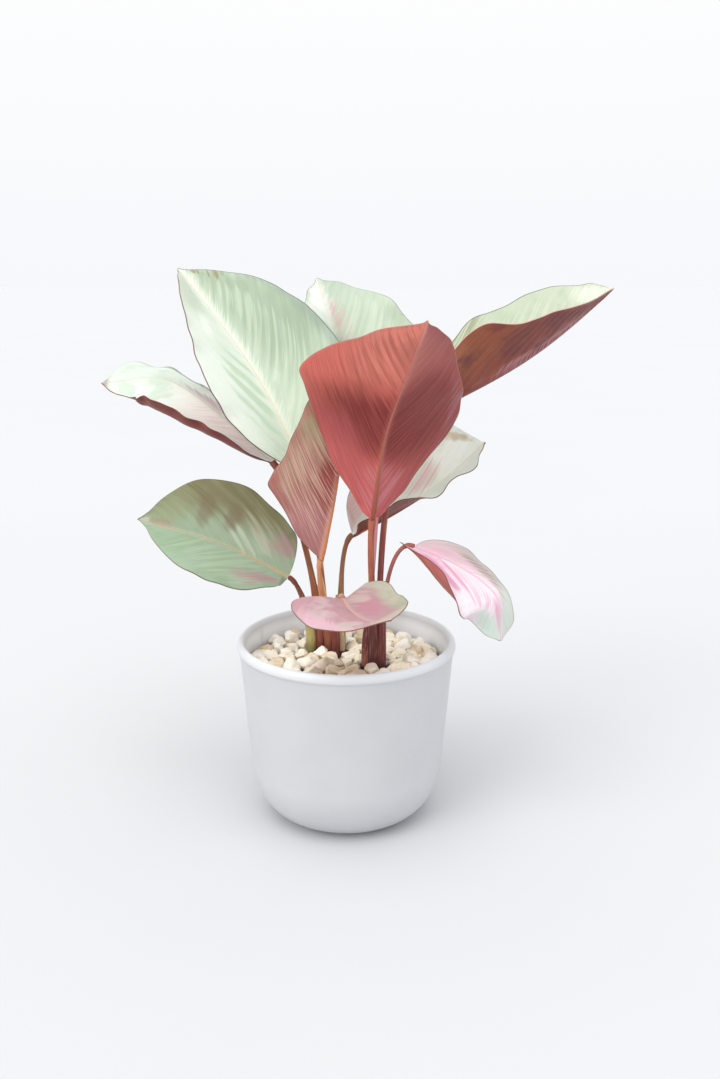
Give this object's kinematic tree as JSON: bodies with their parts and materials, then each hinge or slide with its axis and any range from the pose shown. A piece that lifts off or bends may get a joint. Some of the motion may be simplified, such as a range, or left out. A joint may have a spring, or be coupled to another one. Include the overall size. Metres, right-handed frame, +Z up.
{
  "type": "potted calathea",
  "caption": "Young calathea with broad pale green, pink and burgundy leaves on clasping stalks, growing in a small round pale pot topped with cream stone chips.",
  "frame": {"origin": "centre of the pot's flat foot, on the surface that it stands on", "axes": "+Z up, +X to the right and +Y away from the viewer, as the plant is pictured"},
  "size_m": [0.2628, 0.1606, 0.2726],
  "materials": {
    "pot_glaze": "satin",
    "peat_mix": "matte",
    "stone_chips": "matte",
    "left_stalks": "satin",
    "right_stalks": "satin",
    "leaf_mint": "satin",
    "leaf_mint_edge_on": "satin",
    "leaf_olive": "satin",
    "leaf_rose_underside": "satin",
    "leaf_burgundy_underside": "satin",
    "leaf_mint_blush": "satin",
    "leaf_maroon_underside": "satin",
    "leaf_mint_streaked": "satin",
    "leaf_pink_white": "satin",
    "leaf_dusty_pink": "satin"
  },
  "bodies": {
    "root": {"pot": "pot_glaze", "potting_mix": "peat_mix", "gravel": "stone_chips", "left_shoot_stems": "left_stalks", "right_shoot_stems": "right_stalks", "blade_upper_left": "leaf_mint", "blade_left": "leaf_mint_edge_on", "blade_lower_left": "leaf_olive", "blade_centre_left": "leaf_rose_underside", "blade_centre": "leaf_burgundy_underside", "blade_top_back": "leaf_mint_blush", "blade_upper_right": "leaf_maroon_underside", "blade_middle_right": "leaf_mint_streaked", "blade_lower_right": "leaf_pink_white", "blade_low_front": "leaf_dusty_pink"}
  },
  "joints": []
}
